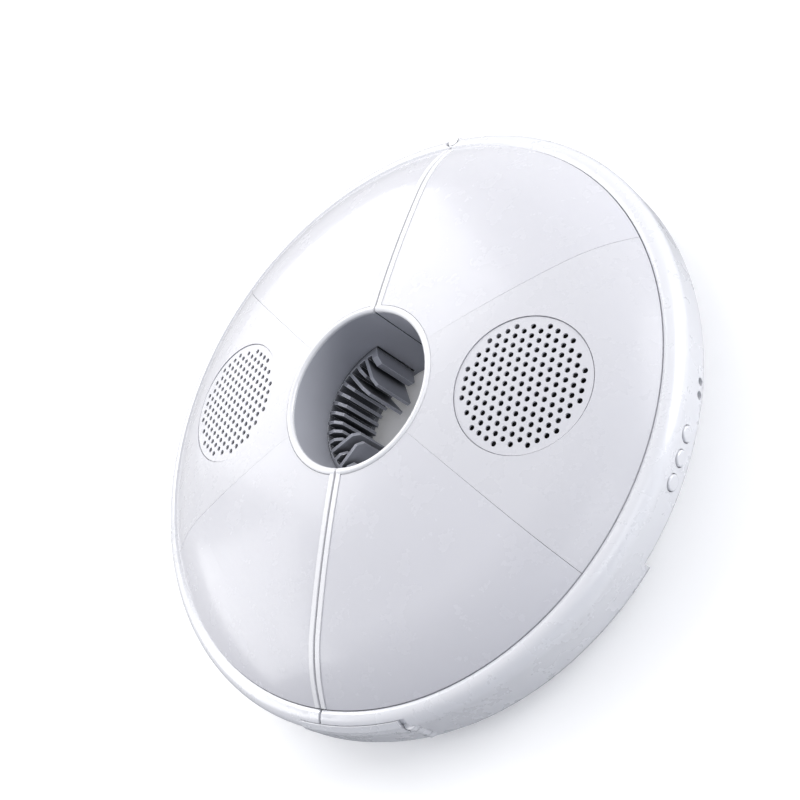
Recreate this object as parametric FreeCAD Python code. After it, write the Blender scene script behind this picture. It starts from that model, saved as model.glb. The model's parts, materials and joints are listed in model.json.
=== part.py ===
"""Umbrella light: a two-part disc that closes round a parasol pole.

Millimetres, +Z up. The light lies on its back with its lamp face up. The origin is
the point where the axis of the pole hole meets the surface under the rubber feet.
+X points to the speaker of the fixed half, +Y to the hinge and -Y to the latch.
"""

import FreeCAD
import Part
import math
import os

V = FreeCAD.Vector
UP = V(0, 0, 1)
ORIGIN = V(0, 0, 0)

# Overall form
DISC_R = 120.0            # outer radius of the rim
RIM_W = 7.0               # width of the rim round the domed lens
DOME_R = 401.0            # radius of the dome's crown
SHOULDER_W = 25.0         # width of the shoulder between the crown and the lens's edge
SHOULDER_R = 61.5         # radius of the dome's shoulder arc
SEAM = 1.0                # gap between the two halves
LENS_T = 2.0              # wall of the domed covers
PANEL_GAP = 0.16          # gap between neighbouring covers
EDGE_GAP = 0.25           # groove between the covers and the rim

# Rear shell
SHELL_T = 2.2             # wall of the rear shell
BACK_Z = 1.0              # height of the flat back
BACK_SLOPE_W = 32.0       # width of the sloping part of the back
BACK_EDGE_Z = 10.0        # height of the back where it meets the side wall
WALL_TOP_Z = 22.8         # top of the straight side wall
BACK_ROUND = 3.0          # rounding between back and side wall
RIM_ROUND = 5.5           # rounding between side wall and front
LEDGE_IN = 3.9            # how far the lens seat reaches under the lens
LEDGE_T = 1.8             # thickness of the lens seat
SPLIT_WALL_T = 1.8        # wall along the split

# Pole hole
BORE_R = 31.0             # radius of the pole hole
COLLAR_T = 2.0            # wall of the collar
COLLAR_GAP = 0.3          # gap between the collar and what is round it
COLLAR_FOOT_Z = 0.9       # lower end of the collar
TRIM_W = 2.6              # width of the trim ring
TRIM_PROUD = 0.3          # how far the trim stands above the lens
TRIM_DEPTH = 1.3          # height of the trim ring's section
STRIP_W = 2.0             # width of each white strip beside the split

# Speakers
SPEAKER_OUT = 38.85       # distance of each speaker's middle from the pole hole's wall
WEDGE_DEG = 32.0          # half angle of the speaker panel
GRILLE_R = 25.3           # radius of the grille
GRILLE_T = 0.8            # thickness of the grille
GRILLE_SINK = 0.35        # depth of the grille below the panel's face
GRILLE_GAP = 0.3          # gap round the grille
HOLE_PITCH = 3.58         # spacing of the grille's holes
HOLE_R = 1.0              # radius of the grille's holes
HOLE_REACH = 6.3          # radius of the hole pattern, in spacings
SPEAKER_FLANGE_R = 31.5   # radius of the speaker frame's flange
SPEAKER_DEPTH = 16.0      # depth of the speaker frame
CONE_R = 19.5             # radius of the speaker cone with its surround
MAGNET_R = 14.0           # radius of the magnet
MAGNET_T = 6.0            # thickness of the magnet
SPEAKER_SCREW_R = 29.3    # circle of the speaker's screws

# Clamp jaws
JAW_CENTRE = 4.7          # distance of the jaw's own centre from the axis
FIN_STEP_DEG = 9.5        # angle between neighbouring fins
FIN_COUNT = 15            # fins on each jaw
FIN_T = 1.3               # thickness of a fin
FIN_TALL_TIP = 13.2       # distance of the tall fins' tips from the jaw's centre
FIN_OUTER_TIP = 14.0      # the same for the outer tall fins
FIN_SHORT_TIP = 21.3      # the same for the short fins
FIN_END_TIP = 22.3        # the same for the end fins
JAW_ROOT_IN = 4.4         # how far the backing's inner radius is below the pole hole's
JAW_BACK_T = 2.6          # thickness of the jaw's backing
JAW_TOP_Z = 27.6          # upper face of the jaw
JAW_FOOT_Z = 3.6          # lower face of the jaw
WINDOW_DEG = 62.5         # half angle of the collar's window
JAW_FIT = 0.35            # sliding clearance of the jaw
JAW_TRAVEL = 7.0          # how far each jaw gives way to the pole
JAW_HEEL_W = 26.0         # width of the sliding heel
JAW_HEEL_OUT = 11.5       # from the pole hole's wall to the heel's end
GUIDE_WALL = 2.0          # wall of the jaw's guide
GUIDE_LENGTH = 13.0       # from the heel's end to the guide's back plate
SPRING_WIRE = 0.9         # wire diameter of the jaw springs
SPRING_R = 3.2            # mean radius of the jaw springs
SPRING_TURNS = 5          # turns of each jaw spring
SPRING_SPREAD = 8.0       # distance of each spring from the middle
SPRING_Z = 15.5           # height of the springs
GUIDE_TOP_Z = 19.3        # upper edge of the jaw's guide

# Lamp boards
BOARD_T = 1.6             # thickness of every circuit board
LAMP_Z = 27.6             # lower face of the lamp boards
LAMP_INSET = 7.7          # from the housing round the collar to the lamp boards
LAMP_EDGE = 11.0          # from the lamp boards' outer edge to the lens's edge
LAMP_FROM_DEG = 36.0      # first edge of a lamp board
LAMP_TO_DEG = 86.0        # last edge of a lamp board
LED_SIZE = 3.5            # side of a light-emitting diode
LED_T = 1.5               # height of a light-emitting diode
LED_ROWS = ((42.0, 3), (20.0, 4), (7.0, 5))
POST_R = 3.2              # radius of the posts
PILOT_R = 1.25            # radius of the pilot holes in the posts
SCREW_HEAD_R = 2.6        # radius of the screw heads
SCREW_HEAD_T = 1.6        # height of the screw heads
SCREW_R = 1.2             # radius of the screw shanks
SCREW_LENGTH = 9.0        # length of the screw shanks
SHORT_SCREW = 3.7         # length of the speaker's screws
COVER_SCREW = 6.5         # length of the battery cover's screws

# Battery compartment, a raised part of the back
BULGE_MID_DEG = -53.5     # middle of the compartment
BULGE_HALF_DEG = 28.0     # half angle of the compartment
BULGE_OVER = 4.0          # how far the raised part reaches over the flat back
BULGE_EDGE_Z = 6.0        # its height where it meets the side wall
DOOR_HALF_DEG = 24.0      # half angle of the battery cover
DOOR_IN = 2.0             # from the raised part's inner edge to the battery cover
DOOR_EDGE = 6.5           # from the battery cover's outer edge to the rim
DOOR_GAP = 0.25           # gap round the battery cover
DOOR_LIP = 1.5            # overlap of the seat inside the cover's edge
DOOR_SEAT_T = 1.8         # thickness of the seat frame
CELL_R = 9.1              # radius of the battery cell
CELL_LENGTH = 65.0        # length of the battery cell
CELL_EDGE = 23.5          # distance of the cell's axis from the rim
CELL_Z = 16.4             # height of the cell's axis
HOLDER_WALL = 1.2         # wall of the battery holder
CONTACT_T = 0.6           # thickness of the contact plates
CONTACT_ROOM = 2.2        # room for the contact at each end of the cell

# Hinge
HINGE_EDGE = 2.0          # distance of the hinge pin inside the rim
HINGE_PIN_R = 1.25        # radius of the hinge pin
KNUCKLE_R = 2.9           # radius of the knuckles
KNUCKLE_GAP = 0.3         # gap between knuckles
KNUCKLE_H = 5.2           # height of one knuckle
HINGE_FOOT_Z = 10.6       # lower end of the lowest knuckle
HINGE_RELIEF = 0.45       # clearance cut round the knuckles
RUNNING_FIT = 0.06        # radial running clearance on the pins

# Latch
LATCH_DEG = -72.0         # direction of the latch pin
LATCH_SINK = 1.6          # distance of the latch pin inside the rim
LATCH_FREE_DEG = -94.6    # direction of the latch lever's free end
LATCH_PROUD = 0.6         # how far the lever stands out of the rim
LATCH_T = 1.6             # thickness of the lever
LATCH_GAP = 0.25          # gap between the lever and its pocket in the rim
LATCH_FOOT_Z = 12.0       # lower edge of the lever
LATCH_TOP_DEGS = (0.0, 24.0, 48.0)    # corners of the lever's bend over the rim's rounding
LATCH_PIN_R = 0.9         # radius of the latch pin
LATCH_EYE_R = 2.6         # radius of the lever's eye and of the lugs
LUG_FOOT_Z = 11.0         # lower end of the lower lug
LUG_H = 2.8               # height of each lug
LUG_TOP_Z = 23.8          # upper end of the upper lug
LUG_GAP = 0.3             # gap between the lever's eye and the lugs
BEAD_DEG = -93.0          # direction of the retaining bead
BEAD_H = 0.3              # height of the bead on the lever
BEAD_R = 0.65             # radius of the groove for the bead
GRIP_LENGTH = 8.0         # length of the bead and of the lever's grip grooves
GRIP_LIFT = 2.0           # how far they stand above the lever's lower edge
GRIP_DEGS = (-92.6, -91.0, -89.4, -87.8)    # directions of the grip grooves
GRIP_R = 0.75             # radius of a grip groove
GRIP_DEPTH = 0.4          # depth of a grip groove
LATCH_SPRING_WIRE = 0.5   # wire diameter of the latch spring
LATCH_SPRING_R = 1.45     # mean radius of the latch spring

# Controls on the side wall of the fixed half
BUTTON_DEGS = {"light_button": -4.6, "volume_up_button": -8.6, "volume_down_button": -12.6}
BUTTON_Z = 18.0           # height of the buttons
BUTTON_R = 2.8            # radius of a button's cap
BUTTON_FIT = 0.3          # gap round a button
BUTTON_PROUD = 0.7        # how far a button stands out of the wall
BUTTON_FLANGE_R = 3.7     # radius of a button's flange
BUTTON_FLANGE_T = 1.2     # thickness of a button's flange
BUTTON_STEM_R = 1.2       # radius of a button's stem
BUTTON_TRAVEL = 0.5       # how far a button moves
PORT_DEGS = {"inlet": 4.9, "audio": 2.6}
PORT_Z = 14.2             # height of the two sockets
PORT_EDGE = 4.7           # distance of the socket block's face inside the rim
PORT_HALF_H = 1.9         # half the height of the socket block
PORT_R = 1.45             # radius of the sockets
PORT_PIN_R = 0.4          # radius of the inlet's centre pin
PORT_DEPTH = 6.2          # depth of the sockets
CONTROL_EDGE = 12.4       # distance of the control board inside the rim
CONTROL_DEG = -3.8        # direction of the control board
CONTROL_W = 44.0          # width of the control board
CONTROL_FOOT_Z = 11.0     # lower edge of the control board
CONTROL_TOP_Z = 22.0      # upper edge of the control board
SWITCH_SIDE = 4.5         # side of a button switch
SWITCH_H = 1.5            # height of a switch body

# Rubber feet
FOOT_R = 6.0              # radius of a foot
FOOT_T = 1.6              # thickness of a foot
FOOT_CIRCLE = 66.0        # circle on which the feet stand
FOOT_DEGS = (-72.0, 0.0, 72.0)

# Screws
INNER_SCREW_OUT = 15.0    # from the pole hole's wall to the panel's inner screws
INNER_SCREW_DEG = 28.0    # their direction
OUTER_SCREW_EDGE = 16.0   # from the rim to the panel's outer screws
OUTER_SCREW_DEG = 22.0    # their direction
LAMP_POST_IN = 6.0        # from the lamp boards' inner edge to their inner posts
LAMP_POST_OUT = 28.0      # from the lamp boards' outer edge to their outer post
LAMP_POST_DEGS = (44.0, 78.0, 60.0)

# Derived values
LENS_R = DISC_R - RIM_W
CROWN_R = LENS_R - SHOULDER_W
CROWN_TILT = math.asin(CROWN_R / DOME_R)
RIM_TOP_Z = WALL_TOP_Z + RIM_ROUND
SHOULDER_X = (DOME_R - SHOULDER_R) * math.sin(CROWN_TILT)
SHOULDER_FALL = math.sqrt(SHOULDER_R ** 2 - (LENS_R - SHOULDER_X) ** 2)
SPHERE_Z = RIM_TOP_Z - SHOULDER_FALL - (DOME_R - SHOULDER_R) * math.cos(CROWN_TILT)
DOME_TOP = SPHERE_Z + DOME_R
PLATEAU_R = DISC_R - BACK_SLOPE_W
TRIM_R = BORE_R + TRIM_W
SPEAKER_X = BORE_R + SPEAKER_OUT
JAW_ROOT_R = BORE_R - JAW_ROOT_IN
JAW_HEEL_X = BORE_R + JAW_HEEL_OUT
BULGE_IN_R = PLATEAU_R - BULGE_OVER
DOOR_IN_R = BULGE_IN_R + DOOR_IN
DOOR_OUT_R = DISC_R - DOOR_EDGE
CELL_DISTANCE = DISC_R - CELL_EDGE
HINGE_Y = DISC_R - HINGE_EDGE
LATCH_R = DISC_R - LATCH_SINK
LATCH_OUT_R = DISC_R + LATCH_PROUD
LATCH_IN_R = LATCH_OUT_R - LATCH_T
PORT_FACE = DISC_R - PORT_EDGE
CONTROL_X = DISC_R - CONTROL_EDGE
SPEAKER_TILT = math.degrees(math.asin(SPEAKER_X / DOME_R))
HALF_SEAM = SEAM / 2
COLLAR_R = BORE_R + COLLAR_T
HOUSING_R = COLLAR_R + COLLAR_GAP
LAMP_IN_R = HOUSING_R + LAMP_INSET
LAMP_OUT_R = LENS_R - LAMP_EDGE
LAMP_POSTS = ((LAMP_IN_R + LAMP_POST_IN, LAMP_POST_DEGS[0]),
              (LAMP_IN_R + LAMP_POST_IN, LAMP_POST_DEGS[1]),
              (LAMP_OUT_R - LAMP_POST_OUT, LAMP_POST_DEGS[2]))
PANEL_SCREWS = [(r, side * degrees) for r, degrees in (
    (BORE_R + INNER_SCREW_OUT, INNER_SCREW_DEG),
    (DISC_R - OUTER_SCREW_EDGE, OUTER_SCREW_DEG)) for side in (1, -1)]
RIM_IN_R = LENS_R + EDGE_GAP
WALL_IN_R = DISC_R - SHELL_T
FLOOR_Z = BACK_Z + SHELL_T
LEDGE_R = LENS_R - LEDGE_IN
STRIP_EDGE = HALF_SEAM + STRIP_W
GUIDE_X = JAW_HEEL_X + GUIDE_LENGTH
KNUCKLES = 3
TALL_HEIGHT = 60.0        # taller than the whole light, for cutting tools


# ---------------------------------------------------------------- helpers

def polar(radius, degrees, z=0.0):
    """Point at a distance and direction from the pole hole's axis."""
    angle = math.radians(degrees)
    return V(radius * math.cos(angle), radius * math.sin(angle), z)


def dome_arc(depth, r_from, r_to):
    """Edges in the XZ plane along the dome, a given depth below its face."""
    crown = DOME_R - depth
    shoulder = SHOULDER_R - depth
    turn = crown * math.sin(CROWN_TILT)
    centre_z = SPHERE_Z + (DOME_R - SHOULDER_R) * math.cos(CROWN_TILT)

    def point(r):
        if r <= turn:
            return V(r, 0, SPHERE_Z + math.sqrt(crown ** 2 - r ** 2))
        return V(r, 0, centre_z + math.sqrt(shoulder ** 2 - (r - SHOULDER_X) ** 2))

    stops = [r_from, turn, r_to] if r_from < turn < r_to else [r_from, r_to]
    edges = []
    for a, b in zip(stops, stops[1:]):
        middle = point((a + b) / 2)
        edges.append(Part.Arc(point(a), middle, point(b)).toShape())
    return edges


def end_points(edges):
    """First and last point of a chain of edges."""
    return edges[0].Vertexes[0].Point, edges[-1].Vertexes[-1].Point


def lines(points):
    """Straight edges through points."""
    return [Part.makeLine(a, b) for a, b in zip(points, points[1:])]


def flat(points):
    """Points (r, z) as vectors in the XZ plane."""
    return [V(r, 0, z) for r, z in points]


def spin(edges, from_deg, to_deg):
    """Solid made by turning a closed outline in the XZ plane about the axis."""
    face = Part.Face(Part.Wire(Part.__sortEdges__(edges)))
    face.rotate(ORIGIN, UP, from_deg)
    return face.revolve(ORIGIN, UP, to_deg - from_deg)


def spin_polygon(points, from_deg=-90, to_deg=90):
    """Solid made by turning a polygon of (r, z) points."""
    corners = flat(points)
    return spin(lines(corners + corners[:1]), from_deg, to_deg)


def dome_layer(top, bottom, r_from, r_to, from_deg=-90, to_deg=90):
    """Domed layer between two depths below the dome's face."""
    upper = dome_arc(top, r_from, r_to)
    lower = dome_arc(bottom, r_from, r_to)
    upper_a, upper_b = end_points(upper)
    lower_a, lower_b = end_points(lower)
    sides = [Part.makeLine(upper_a, lower_a), Part.makeLine(upper_b, lower_b)]
    return spin(upper + lower + sides, from_deg, to_deg)


def under_dome(depth, r_from, r_to, z_from, from_deg=-90, to_deg=90):
    """Solid from a height up to a depth below the dome's face."""
    upper = dome_arc(depth, r_from, r_to)
    a, b = end_points(upper)
    corner_a = V(r_from, 0, z_from)
    corner_b = V(r_to, 0, z_from)
    return spin(upper + lines([a, corner_a, corner_b, b]), from_deg, to_deg)


def box(x_range, y_range, z_range):
    """Box between two values along each axis."""
    size = [high - low for low, high in (x_range, y_range, z_range)]
    return Part.makeBox(*size, V(x_range[0], y_range[0], z_range[0]))


def cylinder(radius, z_range, centre=ORIGIN):
    """Upright cylinder."""
    foot = V(centre.x, centre.y, z_range[0])
    return Part.makeCylinder(radius, z_range[1] - z_range[0], foot)


def tube(inner, outer, z_range, centre=ORIGIN):
    """Upright tube."""
    return cylinder(outer, z_range, centre).cut(cylinder(inner, z_range, centre))


def radial_rod(radius, r_range, degrees, z):
    """Cylinder lying along a radius of the disc."""
    length = r_range[1] - r_range[0]
    return Part.makeCylinder(radius, length, polar(r_range[0], degrees, z), polar(1, degrees))


def turned(shape, degrees):
    """Copy turned about the pole hole's axis."""
    copy = shape.copy()
    copy.rotate(ORIGIN, UP, degrees)
    return copy


def mirrored(shape):
    """Copy mirrored from the fixed half to the swinging half."""
    return shape.mirror(ORIGIN, V(1, 0, 0))


def fuse(shapes):
    """One solid from several."""
    first, rest = shapes[0], shapes[1:]
    return first.multiFuse(rest).removeSplitter() if rest else first


def group(shapes):
    """Separate solids in one node."""
    return Part.makeCompound(shapes)


def off_split(shape, edge):
    """Shape without what lies nearer to the split than a distance."""
    return shape.cut(box((-DISC_R, edge), (-2 * DISC_R, 2 * DISC_R), (-1, TALL_HEIGHT)))


def coil(radius, wire, turns, length):
    """Open coil spring standing on the XY plane as one unbroken wire."""
    rise = length - wire
    helix = Part.makeHelix(rise / turns, rise, radius)
    halves = [Part.makeCircle(wire / 2, V(radius, 0, 0), V(0, 1, 0), start, start + 180)
              for start in (0, 180)]
    section = Part.Wire(halves)
    spring = Part.Wire(helix).makePipeShell([section], True, True)
    spring.translate(V(0, 0, wire / 2))
    return spring


def screw(point, direction, length=SCREW_LENGTH):
    """Pan-head screw whose head rests at a point; the shank runs along the direction."""
    back = V(direction).multiply(-1)
    head = Part.makeCylinder(SCREW_HEAD_R, SCREW_HEAD_T, point, back)
    crown = head.makeFillet(0.6, [e for e in head.Edges if e.BoundBox.Center.distanceToPoint(
        point + V(back).multiply(SCREW_HEAD_T)) < 0.5 and len(e.Vertexes) == 1])
    shank = Part.makeCylinder(SCREW_R, length, point, direction)
    outer = point + V(back).multiply(SCREW_HEAD_T)
    sink = V(back).multiply(-0.8)
    across = V(1, 0, 0) if abs(back.z) > 0.5 else UP
    slots = []
    for axis in (across, back.cross(across)):
        bar = Part.makeBox(2.6, 0.6, 2.0, V(-1.3, -0.3, 0))
        placement = FreeCAD.Placement(V(), FreeCAD.Rotation(axis, back.cross(axis), back))
        bar.Placement = placement
        bar.translate(outer + sink)
        slots.append(bar)
    return crown.fuse(shank).cut(slots[0]).cut(slots[1])


# ---------------------------------------------------------------- rear shell

def back_outline():
    """Closed outline of the filled rear shell: back, side wall, rim and lens seat."""
    slope = math.atan2(BACK_EDGE_Z - BACK_Z, DISC_R - BACK_ROUND - PLATEAU_R)
    corner = V(DISC_R - BACK_ROUND * (1 - math.sin(slope)), 0, BACK_EDGE_Z)
    wall_foot = V(DISC_R, 0, BACK_EDGE_Z + BACK_ROUND)
    middle = V(DISC_R - BACK_ROUND * 0.2, 0, BACK_EDGE_Z + BACK_ROUND * 0.36)
    seat = dome_arc(LENS_T + 0.05, LEDGE_R, RIM_IN_R)
    seat_in, seat_out = end_points(seat)
    shoulder_top = V(DISC_R - RIM_ROUND, 0, RIM_TOP_Z)
    shoulder_mid = V(DISC_R - RIM_ROUND * (1 - math.sin(math.pi / 4)), 0,
                     WALL_TOP_Z + RIM_ROUND * math.cos(math.pi / 4))
    wall_top = V(DISC_R, 0, WALL_TOP_Z)
    path = lines([V(HOUSING_R, 0, BACK_Z), V(PLATEAU_R, 0, BACK_Z), corner])
    path.append(Part.Arc(corner, middle, wall_foot).toShape())
    path.append(Part.makeLine(wall_foot, wall_top))
    path.append(Part.Arc(wall_top, shoulder_mid, shoulder_top).toShape())
    path += lines([shoulder_top, V(RIM_IN_R, 0, RIM_TOP_Z - 0.5), seat_out])
    path += seat
    path += lines([seat_in, V(LEDGE_R, 0, WALL_TOP_Z - 4.0), V(HOUSING_R, 0, FLOOR_Z + 2.0),
                   V(HOUSING_R, 0, BACK_Z)])
    return path


def hollow():
    """Space inside the rear shell."""
    seat_z = end_points(dome_arc(LENS_T + 0.05, LEDGE_R, RIM_IN_R))[0].z
    return spin_polygon([
        (HOUSING_R + SHELL_T, FLOOR_Z),
        (PLATEAU_R - 0.4, FLOOR_Z),
        (WALL_IN_R - 1.2, BACK_EDGE_Z + SHELL_T),
        (WALL_IN_R, BACK_EDGE_Z + SHELL_T + 1.4),
        (WALL_IN_R, WALL_TOP_Z - 1.0),
        (LEDGE_R - 0.2, seat_z - LEDGE_T - 1.2),
        (LEDGE_R - 0.2, TALL_HEIGHT),
        (HOUSING_R + SHELL_T, TALL_HEIGHT),
    ])


def bulge(inset, angle_inset, top):
    """Battery compartment, a raised sector of the back, inset by a wall."""
    out = DISC_R - inset
    return spin_polygon([
        (BULGE_IN_R + inset, BACK_Z + inset),
        (out - BACK_ROUND, BULGE_EDGE_Z + inset),
        (out - BACK_ROUND * 0.25, BULGE_EDGE_Z + inset + BACK_ROUND * 0.35),
        (out, BULGE_EDGE_Z + inset + BACK_ROUND),
        (out, top),
        (BULGE_IN_R + inset, top),
    ], BULGE_MID_DEG - BULGE_HALF_DEG + angle_inset, BULGE_MID_DEG + BULGE_HALF_DEG - angle_inset)


def door_patch(shrink):
    """Sector through the back that the battery cover fills."""
    low, high = BACK_Z - 0.5, FLOOR_Z + 6.0
    angle = DOOR_HALF_DEG - math.degrees(shrink / DOOR_OUT_R)
    return spin_polygon([
        (DOOR_IN_R + shrink, low), (DOOR_OUT_R - shrink, low),
        (DOOR_OUT_R - shrink, high + 4), (DOOR_IN_R + shrink, high),
    ], BULGE_MID_DEG - angle, BULGE_MID_DEG + angle)


def bulge_floor_height(r):
    """Height of the compartment's floor at a distance from the axis."""
    run = DISC_R - SHELL_T - BACK_ROUND - BULGE_IN_R - SHELL_T
    slope = (BULGE_EDGE_Z - BACK_Z) / run
    return BACK_Z + SHELL_T + (r - BULGE_IN_R - SHELL_T) * slope


def bulge_floor(lift, thickness, grow):
    """Plate that lies on the compartment's floor, with its edge grown past the cover's."""
    r_in, r_out = DOOR_IN_R - grow, DOOR_OUT_R + grow
    low_in, low_out = bulge_floor_height(r_in) + lift, bulge_floor_height(r_out) + lift
    angle = DOOR_HALF_DEG + math.degrees(grow / DOOR_OUT_R)
    return spin_polygon([
        (r_in, low_in), (r_out, low_out), (r_out, low_out + thickness), (r_in, low_in + thickness),
    ], BULGE_MID_DEG - angle, BULGE_MID_DEG + angle)


def shell_blank():
    """Rear shell of the fixed half before its fittings, closed along the split."""
    filled = spin(back_outline(), -90, 90).fuse(bulge(0, 0, BACK_EDGE_Z + 6))
    angle_wall = math.degrees(SHELL_T / DOOR_OUT_R)
    empty = hollow().fuse(bulge(SHELL_T, angle_wall, BACK_EDGE_Z + 8))
    walls = under_dome(LENS_T + 0.1, TRIM_R + 0.2, WALL_IN_R - 3.0, FLOOR_Z - 0.5)
    walls = walls.fuse(spin_polygon([(WALL_IN_R - 4, 13), (WALL_IN_R + 0.5, 13),
                                     (WALL_IN_R + 0.5, 22), (WALL_IN_R - 4, 22)]))
    walls = walls.common(filled_envelope())
    split = box((HALF_SEAM, HALF_SEAM + SPLIT_WALL_T), (-DISC_R, DISC_R), (0, TALL_HEIGHT))
    shell = filled.cut(empty).fuse(walls.common(split))
    return off_split(shell, HALF_SEAM)


def filled_envelope():
    """Everything between the back and the underside of the covers."""
    top = dome_arc(LENS_T + 0.1, HOUSING_R, RIM_IN_R)
    a, b = end_points(top)
    rim = V(DISC_R - 1.0, 0, WALL_TOP_Z)
    path = top + lines([b, rim, V(DISC_R - 1.0, 0, BACK_EDGE_Z + 3.0),
                        V(PLATEAU_R, 0, BACK_Z + 0.6), V(HOUSING_R, 0, BACK_Z + 0.6), a])
    return spin(path, -90, 90)


def cover_floor_holes():
    """Holes and seats for the screws that come through the back."""
    cuts = []
    for r, degrees in PANEL_SCREWS:
        centre = polar(r, degrees)
        floor = back_height(r)
        cuts.append(cylinder(SCREW_R + 0.3, (0, floor + SHELL_T + 2), centre))
        cuts.append(cylinder(SCREW_HEAD_R + 0.4, (0, floor + SCREW_HEAD_T + 0.2), centre))
    return cuts


def back_height(r):
    """Height of the outside of the back at a distance from the axis."""
    if r <= PLATEAU_R:
        return BACK_Z
    run = DISC_R - BACK_ROUND - PLATEAU_R
    return BACK_Z + (BACK_EDGE_Z - BACK_Z) * (r - PLATEAU_R) / run


def screw_wells():
    """Raised seats inside the back round its screws."""
    return [cylinder(SCREW_HEAD_R + 1.8, (back_height(r) + 0.5, back_height(r) + SHELL_T + 2),
                     polar(r, degrees)) for r, degrees in PANEL_SCREWS]


def lamp_post_places():
    """Centres of the posts under both lamp boards."""
    return [polar(r, side * degrees) for side in (1, -1) for r, degrees in LAMP_POSTS]


def door_seat():
    """Frame inside the back that the battery cover rests against."""
    frame = bulge_floor(-0.2, DOOR_SEAT_T, 2.0).cut(bulge_floor(-0.4, DOOR_SEAT_T + 0.6, -DOOR_LIP))
    for centre in door_screw_places():
        frame = frame.fuse(cylinder(POST_R, (centre.z + SHELL_T, centre.z + SHELL_T + 6), centre))
    return frame


def door_screw_places():
    """Places of the two battery cover screws on the outside of the back."""
    r = DOOR_IN_R + 3.4
    z = BACK_Z + (BULGE_EDGE_Z - BACK_Z) * (r - BULGE_IN_R) / (DISC_R - BACK_ROUND - BULGE_IN_R)
    return [polar(r, BULGE_MID_DEG + side * (DOOR_HALF_DEG - 2.0), z) for side in (-1, 1)]


def foot_places():
    """Centres of the feet of one half."""
    return [polar(FOOT_CIRCLE, degrees) for degrees in FOOT_DEGS]


def common_shell():
    """Rear shell with the fittings that both halves share."""
    shell = shell_blank()
    posts = [cylinder(POST_R, (FLOOR_Z - 0.5, LAMP_Z), c) for c in lamp_post_places()]
    shell = fuse([shell, door_seat()] + posts + screw_wells())
    cuts = cover_floor_holes()
    cuts += [cylinder(PILOT_R, (LAMP_Z - SCREW_LENGTH - 1, LAMP_Z + 1), c)
             for c in lamp_post_places()]
    cuts += [cylinder(FOOT_R + 0.2, (0, BACK_Z + 0.6), c) for c in foot_places()]
    cuts += [cylinder(PILOT_R, (c.z + SHELL_T - 1, c.z + SHELL_T + 5.5), c)
             for c in door_screw_places()]
    cuts.append(jaw_sweep())
    for tool in cuts:
        shell = shell.cut(tool)
    return shell.cut(door_patch(0))


def jaw_sweep():
    """Room in the shell's upstand for the jaw and its travel."""
    half = JAW_ROOT_R + JAW_BACK_T
    return box((BORE_R * math.cos(math.radians(WINDOW_DEG)), JAW_HEEL_X + JAW_TRAVEL),
               (-half, half), (FLOOR_Z, JAW_TOP_Z))


# ---------------------------------------------------------------- hinge

def knuckle_range(index):
    """Lower and upper end of a hinge knuckle."""
    foot = HINGE_FOOT_Z + index * (KNUCKLE_H + KNUCKLE_GAP)
    return foot, foot + KNUCKLE_H


def add_knuckles(shell, indices, pin_clearance):
    """Shell of the fixed half with its share of the hinge."""
    centre = V(0, HINGE_Y, 0)
    shell = shell.cut(cylinder(KNUCKLE_R + HINGE_RELIEF, (0, TALL_HEIGHT), centre))
    for index in indices:
        z_range = knuckle_range(index)
        arm = box((0, 6.5), (HINGE_Y - KNUCKLE_R, HINGE_Y - 0.2), z_range)
        eye = cylinder(KNUCKLE_R, z_range, centre).fuse(arm)
        shell = shell.fuse(eye)
    shell = shell.cut(cylinder(HINGE_PIN_R + pin_clearance, (0, TALL_HEIGHT), centre))
    return shell.removeSplitter()


def hinge_pin():
    """Headed pin through all the knuckles."""
    centre = V(0, HINGE_Y, 0)
    top = knuckle_range(KNUCKLES - 1)[1]
    shaft = cylinder(HINGE_PIN_R, (HINGE_FOOT_Z - 0.5, top), centre)
    head = cylinder(HINGE_PIN_R + 0.8, (top, top + 0.7), centre)
    return shaft.fuse(head).removeSplitter()


# ---------------------------------------------------------------- latch

def latch_centre():
    """Axis of the latch pin."""
    return polar(LATCH_R, LATCH_DEG)


def latch_eye_range():
    """Height range of the lever's eye between the lugs."""
    return LUG_FOOT_Z + LUG_H + LUG_GAP, LUG_TOP_Z - LUG_H - LUG_GAP


def rim_profile(offset, foot_z, past=0.0):
    """Points up the rim's side wall and over its rounding, a given distance outside its face."""
    radius = RIM_ROUND + offset
    bend = [(DISC_R - RIM_ROUND + radius * math.cos(math.radians(degrees)),
             WALL_TOP_Z + radius * math.sin(math.radians(degrees)))
            for degrees in LATCH_TOP_DEGS[:-1] + (LATCH_TOP_DEGS[-1] + past,)]
    return [(DISC_R + offset, foot_z)] + bend


def latch_pocket(from_deg, to_deg):
    """Room for the lever, sunk into the rim between two directions."""
    foot_z = LATCH_FOOT_Z - LATCH_GAP
    past = math.degrees(LATCH_GAP / RIM_ROUND)
    floor = rim_profile(LATCH_PROUD - LATCH_T - LATCH_GAP, foot_z, past)
    outside = rim_profile(LATCH_PROUD + LATCH_T, foot_z, past)
    return spin_polygon(floor + outside[::-1], from_deg, to_deg)


def add_latch_lugs(shell):
    """Fixed half's shell with the lever's pocket and the two lugs that hold the latch pin."""
    centre = latch_centre()
    eye = latch_eye_range()
    shell = shell.cut(latch_pocket(-91, LATCH_DEG))
    shell = shell.cut(cylinder(LATCH_EYE_R + 0.3, (eye[0] - LUG_GAP, eye[1] + LUG_GAP), centre))
    for foot in (LUG_FOOT_Z, LUG_TOP_Z - LUG_H):
        shell = shell.fuse(cylinder(LATCH_EYE_R, (foot, foot + LUG_H), centre))
    return shell.cut(cylinder(LATCH_PIN_R, (LUG_FOOT_Z - 1, LUG_TOP_Z + 1), centre))


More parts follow.
